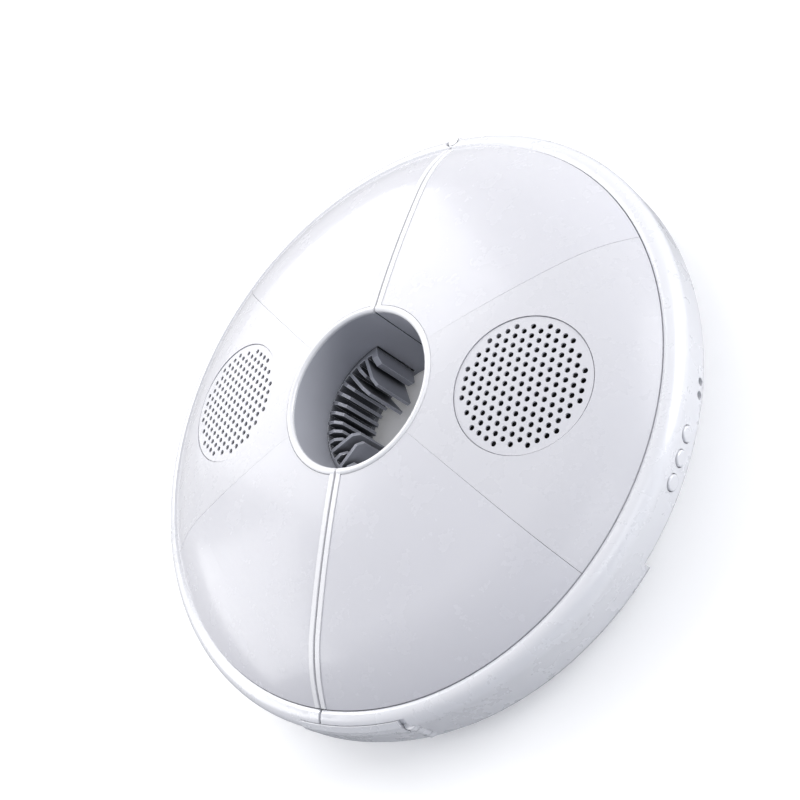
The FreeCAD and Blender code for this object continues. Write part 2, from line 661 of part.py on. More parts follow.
def add_latch_catch(shell):
    """Shell of the swinging half, before mirroring, with its share of the pocket and the bead's groove."""
    gap_deg = math.degrees(LATCH_GAP / DISC_R)
    shell = shell.cut(latch_pocket(-91, -180 - LATCH_FREE_DEG + gap_deg))
    foot = polar(LATCH_IN_R, -180 - BEAD_DEG, LATCH_FOOT_Z + GRIP_LIFT - LATCH_GAP)
    return shell.cut(Part.makeCylinder(BEAD_R, GRIP_LENGTH + 2 * LATCH_GAP, foot))


def latch_lever():
    """Curved lever that lies in the rim across the split, with its eye, bead and finger grip."""
    inner = rim_profile(LATCH_PROUD - LATCH_T, LATCH_FOOT_Z)
    outer = rim_profile(LATCH_PROUD, LATCH_FOOT_Z)
    lever = spin_polygon(outer + inner[::-1], LATCH_FREE_DEG, LATCH_DEG)
    centre = latch_centre()
    eye = latch_eye_range()
    for z_range in ((0, eye[0]), (eye[1], TALL_HEIGHT)):
        lever = lever.cut(cylinder(LATCH_EYE_R + 0.45, z_range, centre))
    lever = lever.fuse(cylinder(LATCH_EYE_R, eye, centre))
    lever = lever.cut(cylinder(LATCH_PIN_R + RUNNING_FIT, (0, TALL_HEIGHT), centre))
    lever = lever.cut(cylinder(LATCH_SPRING_R + 0.6, (eye[1] - 4.5, eye[1]), centre))
    foot_z = LATCH_FOOT_Z + GRIP_LIFT
    lever = lever.fuse(Part.makeCylinder(BEAD_H, GRIP_LENGTH, polar(LATCH_IN_R, BEAD_DEG, foot_z)))
    for degrees in GRIP_DEGS:
        foot = polar(LATCH_OUT_R + GRIP_R - GRIP_DEPTH, degrees, foot_z)
        lever = lever.cut(Part.makeCylinder(GRIP_R, GRIP_LENGTH, foot))
    return lever.removeSplitter()


def latch_pin():
    """Pin of the latch lever."""
    return cylinder(LATCH_PIN_R, (LUG_FOOT_Z, LUG_TOP_Z), latch_centre())


def latch_spring():
    """Small coil in the lever's eye that keeps the latch shut."""
    eye = latch_eye_range()
    spring = coil(LATCH_SPRING_R, LATCH_SPRING_WIRE, 5, 4.0)
    centre = latch_centre()
    spring.translate(V(centre.x, centre.y, eye[1] - 4.1))
    return spring


# ---------------------------------------------------------------- covers

def trim_frame():
    """White strips along the split and half the ring round the pole hole."""
    top, bottom = -TRIM_PROUD, LENS_T
    strip = dome_layer(top, bottom, TRIM_R - 0.5, LENS_R)
    strip = strip.common(box((HALF_SEAM, STRIP_EDGE), (-DISC_R, DISC_R), (0, TALL_HEIGHT)))
    ring_z = end_points(dome_arc(top, BORE_R, TRIM_R))[1].z
    mid_r = (BORE_R + TRIM_R) / 2
    low = ring_z - TRIM_DEPTH
    arch = Part.Arc(V(BORE_R, 0, ring_z - 0.5), V(mid_r, 0, ring_z + 0.35),
                    V(TRIM_R, 0, ring_z - 0.3)).toShape()
    ring = spin([arch] + lines([V(TRIM_R, 0, ring_z - 0.3), V(TRIM_R, 0, low),
                                V(BORE_R, 0, low), V(BORE_R, 0, ring_z - 0.5)]), -90, 90)
    return off_split(fuse([ring] + strip.Solids), HALF_SEAM)


def light_lens(side):
    """Translucent cover of the upper (+1) or lower (-1) lamp."""
    gap = math.degrees(PANEL_GAP / LENS_R)
    edges = sorted((side * (WEDGE_DEG + gap), side * 90))
    lens = dome_layer(0, LENS_T, TRIM_R + PANEL_GAP, LENS_R, *edges)
    return off_split(lens, STRIP_EDGE + PANEL_GAP)


def at_speaker(shape):
    """Shape built on the axis, tilted into the speaker's place on the dome."""
    copy = shape.copy()
    copy.rotate(V(0, 0, SPHERE_Z), V(0, 1, 0), SPEAKER_TILT)
    return copy


def cap_ring(r_from, r_to, top, bottom):
    """Ring that follows the crown about the speaker's own axis."""
    return at_speaker(dome_layer(top, bottom, r_from, r_to, 0, 360))


def speaker_panel():
    """Wedge over the speaker with a seat for the grille, side skirts and screw posts."""
    panel = dome_layer(0, LENS_T, TRIM_R + PANEL_GAP, LENS_R, -WEDGE_DEG, WEDGE_DEG)
    opening = at_speaker(cylinder(GRILLE_R + GRILLE_GAP, (0, TALL_HEIGHT)))
    seat_top = GRILLE_SINK + GRILLE_T + 0.02
    seat = cap_ring(GRILLE_R - 1.5, SPEAKER_FLANGE_R, seat_top, seat_top + 2.4)
    seat = seat.cut(cap_ring(GRILLE_R + GRILLE_GAP + 0.01, SPEAKER_FLANGE_R + 1,
                             seat_top - 1.0, LENS_T - 0.2))
    skirts = []
    for side in (-1, 1):
        inner = side * (WEDGE_DEG - 1.3)
        edges = sorted((side * WEDGE_DEG, inner))
        skirts.append(under_dome(LENS_T - 0.1, LAMP_IN_R + 2, LEDGE_R - 2, LAMP_Z + 2.4, *edges))
    posts = [under_post(polar(r, degrees), r) for r, degrees in PANEL_SCREWS]
    panel = fuse([panel.cut(opening), seat] + skirts + posts)
    for r, degrees in PANEL_SCREWS:
        foot = back_height(r) + SHELL_T + 2
        panel = panel.cut(cylinder(PILOT_R, (foot - 1, foot + SCREW_LENGTH), polar(r, degrees)))
    for point in speaker_screw_places(0.5):
        hole = Part.makeCylinder(PILOT_R, 2.9, point, speaker_axis())
        panel = panel.cut(hole)
    return panel


def under_post(centre, r):
    """Screw post from the rear shell's seat up to the cover."""
    foot = back_height(r) + SHELL_T + 2.05
    post = cylinder(POST_R, (foot, TALL_HEIGHT), centre)
    return post.common(under_dome(LENS_T - 0.1, LAMP_IN_R - 4, LENS_R - 1, 0, -60, 60))


def speaker_axis():
    """Direction of the speaker's axis, outwards."""
    tilt = math.radians(SPEAKER_TILT)
    return V(math.sin(tilt), 0, math.cos(tilt))


def speaker_point(x, y, depth):
    """Point in the speaker's own frame, a depth below the crown's top."""
    shape = Part.Vertex(x, y, DOME_TOP - depth)
    shape.rotate(V(0, 0, SPHERE_Z), V(0, 1, 0), SPEAKER_TILT)
    return shape.Point


def flange_depth():
    """Depth of the speaker flange's upper face at its screws."""
    return GRILLE_SINK + GRILLE_T + 2.45 + SPEAKER_SCREW_R ** 2 / (2 * DOME_R)


def speaker_screw_places(drop):
    """Places of the four speaker screws, a distance below the flange's upper face."""
    places = []
    for index in range(4):
        angle = math.radians(45 + 90 * index)
        x, y = SPEAKER_SCREW_R * math.cos(angle), SPEAKER_SCREW_R * math.sin(angle)
        places.append(speaker_point(x, y, flange_depth() + drop))
    return places


def speaker_grille():
    """Perforated disc that follows the dome."""
    disc = dome_layer(GRILLE_SINK, GRILLE_SINK + GRILLE_T, 0, GRILLE_R, 0, 360)
    holes = []
    reach = int(HOLE_REACH) + 1
    for i in range(-reach, reach + 1):
        for j in range(-reach, reach + 1):
            if i * i + i * j + j * j > HOLE_REACH ** 2:
                continue
            x = HOLE_PITCH * j * math.sqrt(3) / 2
            y = HOLE_PITCH * (i + j / 2)
            holes.append(cylinder(HOLE_R, (DOME_TOP - 4, DOME_TOP + 2), V(x, y, 0)))
    return at_speaker(disc.cut(Part.makeCompound(holes)))


# ---------------------------------------------------------------- speaker drivers

def driver_z(depth):
    """Height in the upright speaker for a depth below the flange's upper face."""
    return DOME_TOP - GRILLE_SINK - GRILLE_T - 2.45 - depth


def speaker_frame():
    """Pressed basket with flange, four windows and a floor."""
    sag = SPEAKER_FLANGE_R ** 2 / (2 * DOME_R)
    flange = dome_layer(DOME_TOP - driver_z(0) , DOME_TOP - driver_z(1.2),
                        CONE_R + 1.5, SPEAKER_FLANGE_R, 0, 360)
    top = driver_z(1.2 + sag * 0.45)
    floor = driver_z(SPEAKER_DEPTH)
    cone_wall = spin_polygon([(CONE_R + 1.5, driver_z(0.6)), (CONE_R + 3.0, driver_z(0.9)),
                              (MAGNET_R + 1.2, floor + 1.2), (MAGNET_R + 1.2, floor),
                              (4.0, floor), (4.0, floor + 1.2), (MAGNET_R - 0.3, floor + 1.2)],
                             0, 360)
    for index in range(4):
        angle = math.radians(45 + 90 * index)
        centre = V(SPEAKER_SCREW_R * math.cos(angle), SPEAKER_SCREW_R * math.sin(angle), 0)
        flange = flange.cut(cylinder(SCREW_R + 0.3, (driver_z(8), driver_z(-4)), centre))
    window_z = (top + floor) / 2 - 0.6
    for index in range(4):
        cone_wall = cone_wall.cut(Part.makeCylinder(3.2, CONE_R, polar(8, 90 * index, window_z),
                                                    polar(1, 90 * index)))
    basket = flange.fuse(cone_wall)
    return at_speaker(basket)


def speaker_cone():
    """Paper cone with a rolled surround and a dust cap."""
    edge = driver_z(1.6)
    neck = driver_z(9.5)
    roll = CONE_R - 3.2
    points = [(0, neck + 3.4), (3.4, neck + 2.6), (6.0, neck + 0.6), (roll, edge - 0.6),
              (roll + 1.0, edge + 0.8), (roll + 2.2, edge + 0.8), (CONE_R - 0.2, edge - 0.2),
              (CONE_R + 0.4, edge - 0.2), (CONE_R + 0.4, edge - 0.8), (CONE_R - 0.7, edge - 0.8),
              (roll + 1.9, edge), (roll + 1.2, edge), (roll + 0.5, edge - 1.4),
              (6.0, neck - 0.2), (6.0, driver_z(SPEAKER_DEPTH - 1.5)),
              (5.4, driver_z(SPEAKER_DEPTH - 1.5)), (5.4, neck + 0.2), (3.2, neck + 1.8),
              (0, neck + 2.6)]
    return at_speaker(spin_polygon(points, 0, 360))


def speaker_magnet():
    """Ring magnet with its back plate and pole piece."""
    top = driver_z(SPEAKER_DEPTH)
    plate = cylinder(MAGNET_R, (top - MAGNET_T, top - 0.05))
    pole = cylinder(3.4, (top - 1, top + 4))
    return at_speaker(plate.makeFillet(0.6, [plate.Edges[2]]).fuse(pole))


def speaker_screws():
    """Four screws that hold the speaker frame under the panel."""
    return group([screw(point, speaker_axis(), SHORT_SCREW) for point in speaker_screw_places(1.45)])


# ---------------------------------------------------------------- pole hole and jaws

def bore_collar():
    """Half tube that lines the pole hole, with the window for the jaw."""
    trim_z = end_points(dome_arc(-TRIM_PROUD, BORE_R, TRIM_R))[1].z
    wall = tube(BORE_R, COLLAR_R, (COLLAR_FOOT_Z, trim_z - TRIM_DEPTH - 0.05))
    window_half = WINDOW_DEG
    z_low, z_high = JAW_FOOT_Z - JAW_FIT, JAW_TOP_Z + JAW_FIT
    window = spin_polygon([(BORE_R - 2, z_low), (COLLAR_R + 2, z_low), (COLLAR_R + 2, z_high),
                           (BORE_R - 2, z_high)], -window_half, window_half)
    flange_z = trim_z - TRIM_PROUD - LENS_T - 0.35
    flange = tube(COLLAR_R - 0.5, HOUSING_R + 3.4, (flange_z - 1.8, flange_z))
    cut_back = under_dome(LENS_T + 0.15, BORE_R - 2, HOUSING_R + 8, 0, 0, 360)
    flange = flange.common(cut_back)
    flange = off_split(flange, HALF_SEAM + SPLIT_WALL_T + 0.2)
    return off_split(wall.cut(window).fuse(flange), HALF_SEAM)


def jaw_fin(index):
    """One fin of the jaw, pointing at the jaw's own centre."""
    offset = index - (FIN_COUNT - 1) // 2
    tips = {4: FIN_TALL_TIP, 6: FIN_OUTER_TIP, 7: FIN_END_TIP}
    tip = tips.get(abs(offset), FIN_SHORT_TIP)
    width = 2.6 if abs(offset) == 7 else FIN_T
    lead = 1.2
    outline = [V(tip, 0, JAW_FOOT_Z + lead), V(tip + lead, 0, JAW_FOOT_Z),
               V(JAW_ROOT_R + 1, 0, JAW_FOOT_Z), V(JAW_ROOT_R + 1, 0, JAW_TOP_Z),
               V(tip + 2 * lead, 0, JAW_TOP_Z), V(tip, 0, JAW_TOP_Z - 2 * lead)]
    face = Part.Face(Part.makePolygon(outline + outline[:1]))
    fin = face.extrude(V(0, width, 0))
    fin.translate(V(0, -width / 2, 0))
    fin.rotate(ORIGIN, UP, offset * FIN_STEP_DEG)
    return fin


def clamp_jaw():
    """Sliding jaw of the fixed half: finned face, curved backing and heel."""
    half = (FIN_COUNT - 1) / 2 * FIN_STEP_DEG + 2.5
    backing = spin_polygon([(JAW_ROOT_R, JAW_FOOT_Z), (JAW_ROOT_R + JAW_BACK_T, JAW_FOOT_Z),
                            (JAW_ROOT_R + JAW_BACK_T, JAW_TOP_Z), (JAW_ROOT_R, JAW_TOP_Z)],
                           -half, half)
    jaw = fuse([backing] + [jaw_fin(index) for index in range(FIN_COUNT)])
    jaw.translate(V(JAW_CENTRE, 0, 0))
    heel = box((JAW_CENTRE + JAW_ROOT_R - 2.5, JAW_HEEL_X), (-JAW_HEEL_W / 2, JAW_HEEL_W / 2),
               (JAW_FOOT_Z, JAW_TOP_Z - 3))
    hollow_heel = box((JAW_CENTRE + JAW_ROOT_R + JAW_BACK_T, JAW_HEEL_X - 2),
                      (-JAW_HEEL_W / 2 + 2, JAW_HEEL_W / 2 - 2), (JAW_FOOT_Z + 2, JAW_TOP_Z))
    room = cylinder(JAW_ROOT_R, (0, TALL_HEIGHT), V(JAW_CENTRE, 0, 0))
    return fuse([jaw, heel.cut(room)]).cut(hollow_heel)


def jaw_guide():
    """Open box on the floor that guides the heel and backs its springs."""
    half = JAW_HEEL_W / 2 + JAW_FIT
    backing = math.sqrt((JAW_ROOT_R + JAW_BACK_T) ** 2 - half ** 2)
    x_front = JAW_CENTRE + backing + JAW_TRAVEL + 0.5
    back = box((GUIDE_X, GUIDE_X + GUIDE_WALL), (-half - GUIDE_WALL, half + GUIDE_WALL),
               (FLOOR_Z, GUIDE_TOP_Z))
    parts = [back]
    for side in (-1, 1):
        inner, outer = sorted((side * half, side * (half + GUIDE_WALL)))
        parts.append(box((x_front, GUIDE_X + 0.1), (inner, outer), (FLOOR_Z, GUIDE_TOP_Z)))
        peg = Part.makeCylinder(SPRING_R - SPRING_WIRE / 2 - 0.3, 5.0,
                                V(GUIDE_X, side * SPRING_SPREAD, SPRING_Z), V(-1, 0, 0))
        parts.append(peg)
    return fuse(parts)


def jaw_springs():
    """Pair of coil springs behind the jaw."""
    springs = []
    for side in (-1, 1):
        spring = coil(SPRING_R, SPRING_WIRE, SPRING_TURNS, GUIDE_LENGTH - 0.1)
        spring.rotate(ORIGIN, V(0, 1, 0), 90)
        spring.translate(V(JAW_HEEL_X + 0.05, side * SPRING_SPREAD, SPRING_Z))
        springs.append(spring)
    return group(springs)


# ---------------------------------------------------------------- lamps

def lamp_board(side):
    """Circuit board of the upper (+1) or lower (-1) lamp."""
    edges = sorted((side * LAMP_FROM_DEG, side * LAMP_TO_DEG))
    board = spin_polygon([(LAMP_IN_R, LAMP_Z), (LAMP_OUT_R, LAMP_Z),
                          (LAMP_OUT_R, LAMP_Z + BOARD_T), (LAMP_IN_R, LAMP_Z + BOARD_T)], *edges)
    for centre in lamp_post_places():
        board = board.cut(cylinder(SCREW_R + 0.2, (0, TALL_HEIGHT), centre))
    return board


def leds():
    """Diodes of both lamp boards of one half, in three curved rows."""
    chips = []
    for inset, count in LED_ROWS:
        r = LAMP_OUT_R - inset
        for side in (-1, 1):
            for index in range(count):
                share = (index + 0.5) / count
                degrees = LAMP_FROM_DEG + share * (LAMP_TO_DEG - LAMP_FROM_DEG)
                half = LED_SIZE / 2
                chip = box((r - half, r + half), (-half, half),
                           (LAMP_Z + BOARD_T, LAMP_Z + BOARD_T + LED_T))
                chips.append(turned(chip, side * degrees))
    return group(chips)


def lamp_screws():
    """Screws that hold both lamp boards of one half on their posts."""
    down = V(0, 0, -1)
    top = LAMP_Z + BOARD_T
    return group([screw(V(c.x, c.y, top), down) for c in lamp_post_places()])


# ---------------------------------------------------------------- battery

def to_cell(shape):
    """Shape built along Y at the cell's distance, turned into its place."""
    return turned(shape, BULGE_MID_DEG)


def battery_cell():
    """Round cell with its positive button."""
    foot = V(CELL_DISTANCE, -CELL_LENGTH / 2, CELL_Z)
    body = Part.makeCylinder(CELL_R, CELL_LENGTH - 1.5, foot, V(0, 1, 0))
    tip = Part.makeCylinder(3.0, CELL_LENGTH, foot, V(0, 1, 0))
    return to_cell(body.fuse(tip))


def battery_holder():
    """Round-topped tray over the cell, open towards the cover, with a foot at each end."""
    room = CELL_R + 0.4
    half_l = CELL_LENGTH / 2 + CONTACT_ROOM
    outer_l = half_l + HOLDER_WALL
    foot = V(CELL_DISTANCE, -outer_l, CELL_Z)
    along = V(0, 1, 0)
    outer = Part.makeCylinder(room + HOLDER_WALL, 2 * outer_l, foot, along)
    outer = outer.common(box((0, DISC_R), (-outer_l, outer_l), (CELL_Z - 6.0, TALL_HEIGHT)))
    inner = Part.makeCylinder(room, 2 * half_l, V(CELL_DISTANCE, -half_l, CELL_Z), along)
    tray = outer.cut(inner)
    seat_r = math.hypot(CELL_DISTANCE + 6, half_l + 9)
    seat_z = bulge_floor_height(seat_r) + DOOR_SEAT_T - 0.1
    for side in (-1, 1):
        y_range = sorted((side * (outer_l - HOLDER_WALL + 0.01), side * (half_l + 9)))
        tray = tray.fuse(box((CELL_DISTANCE - 6, CELL_DISTANCE + 6), y_range, (seat_z, seat_z + 2.5)))
    return to_cell(tray)


def battery_contacts():
    """Flat contact at the button end and a spring contact at the other end."""
    half_l = CELL_LENGTH / 2 + CONTACT_ROOM
    plates = []
    for side in (-1, 1):
        y_in, y_out = sorted((side * half_l, side * (half_l - CONTACT_T)))
        plates.append(box((CELL_DISTANCE - 6.4, CELL_DISTANCE + 6.4), (y_in, y_out),
                          (CELL_Z - 6.4, CELL_Z + 6.4)))
    reach = CONTACT_ROOM - CONTACT_T - 0.05
    bump = Part.makeCylinder(3.0, reach, V(CELL_DISTANCE, half_l - CONTACT_T, CELL_Z), V(0, -1, 0))
    cone = Part.makeCone(6.0, 3.5, reach, V(CELL_DISTANCE, -half_l + CONTACT_T, CELL_Z), V(0, 1, 0))
    return to_cell(group([plates[0].fuse(cone), plates[1].fuse(bump)]))


def battery_cover(blank):
    """Door cut from the back, with two ribs that cradle the cell."""
    door = blank.common(door_patch(DOOR_GAP))
    door = max(door.Solids, key=lambda solid: solid.Volume)
    cuts = []
    for centre in door_screw_places():
        cuts.append(cylinder(SCREW_R + 0.3, (0, TALL_HEIGHT), centre))
        cuts.append(cylinder(SCREW_HEAD_R + 0.3, (0, centre.z + 0.9), centre))
    for side in (-1, 1):
        rib = box((CELL_DISTANCE - 6, CELL_DISTANCE + 6), (side * 16 - 1, side * 16 + 1),
                  (BACK_Z + SHELL_T + 1.2, CELL_Z - 4))
        bed = Part.makeCylinder(CELL_R + 0.1, 4, V(CELL_DISTANCE, side * 16 - 2, CELL_Z), V(0, 1, 0))
        door = door.fuse(to_cell(rib.cut(bed)))
    for tool in cuts:
        door = door.cut(tool)
    return door


def cover_screws():
    """Two screws of the battery cover."""
    return group([screw(V(c.x, c.y, c.z + 0.9), UP, COVER_SCREW) for c in door_screw_places()])


def shell_screws():
    """Screws through the back into the speaker panel's posts."""
    return group([screw(polar(r, degrees, back_height(r) + SCREW_HEAD_T + 0.2), UP)
                  for r, degrees in PANEL_SCREWS])


def feet():
    """Rubber feet of one half, with softened edges."""
    discs = []
    for centre in foot_places():
        disc = cylinder(FOOT_R, (0, FOOT_T), centre)
        rim = [edge for edge in disc.Edges if edge.BoundBox.ZMax < 0.01 and len(edge.Vertexes) == 1]
        discs.append(disc.makeFillet(0.35, rim))
    return group(discs)


# ---------------------------------------------------------------- controls

def add_control_openings(shell):
    """Fixed half's shell with the holes for buttons and sockets and seats for the board."""
    for degrees in BUTTON_DEGS.values():
        shell = shell.cut(radial_rod(BUTTON_R + BUTTON_FIT, (DISC_R - 10, DISC_R + 10), degrees, BUTTON_Z))
    for degrees in PORT_DEGS.values():
        shell = shell.cut(radial_rod(PORT_R, (DISC_R - 10, DISC_R + 10), degrees, PORT_Z))
    for side in (-1, 1):
        y = side * CONTROL_W / 3
        rib = box((CONTROL_X - 1.5, CONTROL_X + BOARD_T + 1.5), (y - 1, y + 1),
                  (back_height(CONTROL_X) + SHELL_T / 2, CONTROL_FOOT_Z + 1.2))
        slot = box((CONTROL_X - 0.1, CONTROL_X + BOARD_T + 0.1), (-CONTROL_W, CONTROL_W),
                   (CONTROL_FOOT_Z, CONTROL_TOP_Z))
        shell = shell.fuse(turned(rib.cut(slot), CONTROL_DEG))
    return shell


def control_board():
    """Upright circuit board behind the side wall."""
    board = box((CONTROL_X, CONTROL_X + BOARD_T), (-CONTROL_W / 2, CONTROL_W / 2),
                (CONTROL_FOOT_Z, CONTROL_TOP_Z))
    return turned(board, CONTROL_DEG)


def board_face(degrees):
    """Distance of the board's outer face from the axis along a direction."""
    return (CONTROL_X + BOARD_T) / math.cos(math.radians(degrees - CONTROL_DEG))


def stem_end():
    """Distance from the axis where a button's stem ends."""
    return WALL_IN_R - 0.2 - BUTTON_FLANGE_T - 3.2


def button_switches():
    """One push switch on the board behind each button."""
    switches = []
    for degrees in BUTTON_DEGS.values():
        half = SWITCH_SIDE / 2
        foot = CONTROL_X + BOARD_T
        offset = math.radians(degrees - CONTROL_DEG)
        y = foot * math.tan(offset)
        body = box((foot, foot + SWITCH_H), (y - half, y + half), (BUTTON_Z - half, BUTTON_Z + half))
        plunger_end = stem_end() - BUTTON_TRAVEL - 0.15
        body = turned(body, CONTROL_DEG)
        plunger = radial_rod(1.0, (board_face(degrees) + 1.0, plunger_end), degrees, BUTTON_Z)
        switches.append(body.fuse(plunger))
    return group(switches)


def button(degrees):
    """Push button with cap, flange and stem."""
    front = DISC_R + BUTTON_PROUD
    flange_out = WALL_IN_R - 0.2
    cap = radial_rod(BUTTON_R, (flange_out - 0.1, front), degrees, BUTTON_Z)
    tip = polar(front, degrees, BUTTON_Z)
    rim = [edge for edge in cap.Edges if len(edge.Vertexes) == 1
           and edge.BoundBox.Center.distanceToPoint(tip) < 0.3]
    cap = cap.makeFillet(0.5, rim)
    flange = radial_rod(BUTTON_FLANGE_R, (flange_out - BUTTON_FLANGE_T, flange_out), degrees, BUTTON_Z)
    wall_inside = cylinder(WALL_IN_R - 0.15, (0, TALL_HEIGHT))
    flange = flange.common(wall_inside)
    stem = radial_rod(BUTTON_STEM_R, (stem_end(), flange_out), degrees, BUTTON_Z)
    return fuse([cap, flange, stem])


def port_block():
    """Block with the charging inlet, which has a centre pin, and the audio socket."""
    middle = (PORT_DEGS["inlet"] + PORT_DEGS["audio"]) / 2
    offset = math.radians(middle - CONTROL_DEG)
    y = (CONTROL_X + BOARD_T) * math.tan(offset)
    block = turned(box((CONTROL_X + BOARD_T, DISC_R), (y - 5.5, y + 5.5),
                       (PORT_Z - PORT_HALF_H, PORT_Z + PORT_HALF_H)), CONTROL_DEG)
    block = block.common(cylinder(PORT_FACE, (0, TALL_HEIGHT)))
    for degrees in PORT_DEGS.values():
        block = block.fuse(radial_rod(PORT_HALF_H, (PORT_FACE - 2, PORT_FACE + 1.1), degrees, PORT_Z))
    mouth = PORT_FACE + 2
    for degrees in PORT_DEGS.values():
        block = block.cut(radial_rod(PORT_R, (mouth - PORT_DEPTH, mouth), degrees, PORT_Z))
    pin = radial_rod(PORT_PIN_R, (mouth - PORT_DEPTH - 0.5, mouth + 0.5), PORT_DEGS["inlet"], PORT_Z)
    return block.fuse(pin)


# ---------------------------------------------------------------- assembly

def half_parts():
    """Pieces that the two halves share, modelled on the fixed half's side."""
    return {
        "trim_frame": trim_frame(),
        "speaker_panel": speaker_panel(),
        "upper_lens": light_lens(1),
        "lower_lens": light_lens(-1),
        "speaker_grille": speaker_grille(),
        "speaker_frame": speaker_frame(),
        "speaker_cone": speaker_cone(),
        "speaker_magnet": speaker_magnet(),
        "speaker_screws": speaker_screws(),
        "bore_collar": bore_collar(),
        "clamp_jaw": clamp_jaw(),
        "jaw_guide": jaw_guide(),
        "jaw_springs": jaw_springs(),
        "upper_lamp_board": lamp_board(1),
        "lower_lamp_board": lamp_board(-1),
        "leds": leds(),
        "lamp_screws": lamp_screws(),
        "battery_cell": battery_cell(),
        "battery_holder": battery_holder(),
        "battery_contacts": battery_contacts(),
        "cover_screws": cover_screws(),
        "shell_screws": shell_screws(),
        "feet": feet(),
    }


def all_parts():
    """Every node of the light by name."""
    parts = {}
    for name, shape in half_parts().items():
        parts["right_" + name] = shape
        parts["left_" + name] = mirrored(shape)
    blank = shell_blank()
    door = battery_cover(blank)
    parts["right_battery_cover"] = door
    parts["left_battery_cover"] = mirrored(door)
    shell = common_shell()
    fixed = add_knuckles(shell, (0, 2), 0.0)
    fixed = add_latch_lugs(fixed)
    parts["right_rear_shell"] = add_control_openings(fixed)
    swinging = add_knuckles(shell, (1,), RUNNING_FIT)
    parts["left_rear_shell"] = mirrored(add_latch_catch(swinging))
    parts["hinge_pin"] = hinge_pin()
    parts["latch_lever"] = latch_lever()
    parts["latch_pin"] = latch_pin()
    parts["latch_spring"] = latch_spring()
    parts["control_board"] = control_board()
    parts["button_switches"] = button_switches()
    parts["port_block"] = port_block()
    for name, degrees in BUTTON_DEGS.items():
        parts[name] = button(degrees)
    return parts


def main():
    os.makedirs("parts", exist_ok=True)
    for name, shape in all_parts().items():
        shape.exportStep("parts/" + name + ".step")
        print(name, "solids", len(shape.Solids), "valid", shape.isValid(),
              "volume", round(shape.Volume, 1))


main()
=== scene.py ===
"""Umbrella light, lying on its back: materials, camera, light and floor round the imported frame."""
import json

import bpy
from mathutils import Matrix, Vector

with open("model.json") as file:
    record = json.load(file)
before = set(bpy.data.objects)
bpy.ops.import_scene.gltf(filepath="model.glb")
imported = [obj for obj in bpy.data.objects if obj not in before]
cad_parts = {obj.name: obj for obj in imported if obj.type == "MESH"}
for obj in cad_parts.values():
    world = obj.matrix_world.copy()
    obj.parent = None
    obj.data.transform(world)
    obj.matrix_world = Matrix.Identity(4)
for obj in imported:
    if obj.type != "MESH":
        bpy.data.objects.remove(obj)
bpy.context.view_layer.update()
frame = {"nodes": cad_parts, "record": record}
nodes = frame["nodes"]
scene = bpy.context.scene


# ---------------------------------------------------------------- node helpers

NOISE_LOW, NOISE_HIGH = 0.3, 0.7         # span in which nearly all of a noise texture's factor lies
MIX_FIRST, MIX_SECOND = 6, 7             # the mix node's two colour inputs
MIX_RESULT = 2                           # and its colour output
BEVEL_SAMPLES = 4
EDGE_RADIUS = 0.0003                     # usual rounding of a moulded edge, in metres


def new_material(name):
    """Empty node material: its tree, the shader and the object coordinates."""
    material = bpy.data.materials.new(name)
    material.use_nodes = True
    tree = material.node_tree
    tree.nodes.clear()
    output = tree.nodes.new("ShaderNodeOutputMaterial")
    shader = tree.nodes.new("ShaderNodeBsdfPrincipled")
    tree.links.new(shader.outputs["BSDF"], output.inputs["Surface"])
    place = tree.nodes.new("ShaderNodeTexCoord").outputs["Object"]
    return material, tree, shader, place


def noise(tree, place, scale, detail=3.0, roughness=0.5):
    """Noise texture's factor, with the scale in features per metre."""
    node = tree.nodes.new("ShaderNodeTexNoise")
    node.inputs["Scale"].default_value = scale
    node.inputs["Detail"].default_value = detail
    node.inputs["Roughness"].default_value = roughness
    tree.links.new(place, node.inputs["Vector"])
    return node.outputs["Fac"]


def stretched(tree, place, scale):
    """Coordinates multiplied by a scale on each axis."""
    mapping = tree.nodes.new("ShaderNodeMapping")
    mapping.inputs["Scale"].default_value = scale
    tree.links.new(place, mapping.inputs["Vector"])
    return mapping.outputs["Vector"]


def ramp(tree, factor, stops):
    """Colour ramp over a factor; stops are (position, colour)."""
    node = tree.nodes.new("ShaderNodeValToRGB")
    elements = node.color_ramp.elements
    while len(elements) < len(stops):
        elements.new(0.5)
    for element, (position, colour) in zip(elements, stops):
        element.position = position
        element.color = (*colour, 1.0)
    tree.links.new(factor, node.inputs["Fac"])
    return node.outputs["Color"]


def blotch(tree, factor, dark, light):
    """Noise factor as a colour from dark to light."""
    return ramp(tree, factor, [(NOISE_LOW, dark), (NOISE_HIGH, light)])


def map_range(tree, value, from_min, from_max, to_min=0.0, to_max=1.0):
    """Value mapped linearly from one span to another, and held inside it."""
    node = tree.nodes.new("ShaderNodeMapRange")
    node.inputs["From Min"].default_value = from_min
    node.inputs["From Max"].default_value = from_max
    node.inputs["To Min"].default_value = to_min
    node.inputs["To Max"].default_value = to_max
    tree.links.new(value, node.inputs["Value"])
    return node.outputs["Result"]


def spread(tree, factor, low, high):
    """Noise factor mapped to low..high."""
    return map_range(tree, factor, NOISE_LOW, NOISE_HIGH, low, high)


def dot_product(tree, first):
    """Dot product node with its first vector linked."""
    node = tree.nodes.new("ShaderNodeVectorMath")
    node.operation = "DOT_PRODUCT"
    tree.links.new(first, node.inputs[0])
    return node


def mix_colour(tree, factor, first, second):
    """Mix node's colour; first and second are sockets or plain colours."""
    node = tree.nodes.new("ShaderNodeMix")
    node.data_type = "RGBA"
    tree.links.new(factor, node.inputs["Factor"])
    for socket, value in ((node.inputs[MIX_FIRST], first), (node.inputs[MIX_SECOND], second)):
        if isinstance(value, tuple):
            socket.default_value = (*value, 1.0)
        else:
            tree.links.new(value, socket)
    return node.outputs[MIX_RESULT]


